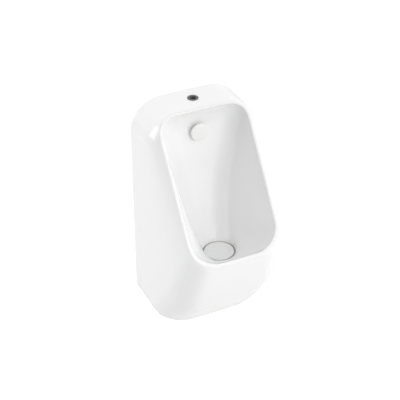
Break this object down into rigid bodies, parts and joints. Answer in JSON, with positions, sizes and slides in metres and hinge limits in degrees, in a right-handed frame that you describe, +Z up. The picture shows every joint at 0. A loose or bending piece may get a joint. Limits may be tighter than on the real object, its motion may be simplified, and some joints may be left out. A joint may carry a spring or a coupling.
{
  "type": "wall hung urinal",
  "caption": "Wall hung glazed urinal with an inclined opening, a tapering bowl, a flush nozzle with a round cap, a lift-out drain cover and trap insert, and steel wall hangers.",
  "frame": {"origin": "midway between the hanger brackets' two wall bolts, on the wall's surface", "axes": "+Z up, +Y into the wall, +X to the right of someone who faces the wall; the bowl faces -Y"},
  "size_m": [0.3254, 0.39, 0.6465],
  "materials": {
    "glaze": "white glaze, glossy",
    "hanger_steel": "zinc plated sheet",
    "fixing_steel": "zinc plated, turned",
    "pad_rubber": "black, matte",
    "seal_rubber": "dark grey, matte",
    "flat_seal": "grey, matte",
    "bushing_plastic": "pale grey",
    "flush_pipe": "white",
    "brass": "turned",
    "nozzle_chrome": "polished",
    "white_cap": "white, smooth",
    "cover_plastic": "pale grey white",
    "insert_plastic": "white",
    "waste_plastic": "pale grey",
    "trap_plastic": "white",
    "union_plastic": "grey white",
    "pipe_plastic": "grey"
  },
  "bodies": {
    "urinal": {"ceramic_body": "glaze", "hanger_bracket": "hanger_steel", "hanger_pad": "pad_rubber", "lug_bracket": "hanger_steel", "lug_bushing": "bushing_plastic", "lug_washer": "fixing_steel", "lug_nut": "fixing_steel", "lug_screw": "fixing_steel", "inlet_seal": "seal_rubber", "inlet_pipe": "flush_pipe", "inlet_elbow": "flush_pipe", "pipe_ring": "flat_seal", "pipe_nut": "union_plastic", "elbow_seal": "flat_seal", "nozzle_body": "nozzle_chrome", "nozzle_gasket": "flat_seal", "nozzle_washer": "flat_seal", "nozzle_nut": "brass", "nozzle_cap": "white_cap", "waste_gasket": "flat_seal", "waste_body": "waste_plastic", "waste_washer": "flat_seal", "waste_nut": "union_plastic", "trap_body": "trap_plastic", "trap_seal": "flat_seal", "trap_nut": "union_plastic", "trap_plug": "union_plastic", "plug_seal": "flat_seal", "outlet_seal": "flat_seal", "outlet_nut": "union_plastic", "outlet_pipe": "pipe_plastic", "wall_rose": "union_plastic"},
    "insert": {"trap_insert": "insert_plastic", "insert_ring": "seal_rubber"},
    "cover": {"drain_cover": "cover_plastic"}
  },
  "joints": [
    {"name": "insert_lift", "type": "slide", "parent": "urinal", "child": "insert", "axis": [0, 0, 1], "range_m": [0, 0.55]},
    {"name": "cover_lift", "type": "slide", "parent": "insert", "child": "cover", "axis": [0, 0, 1], "range_m": [0, 0.42]}
  ]
}
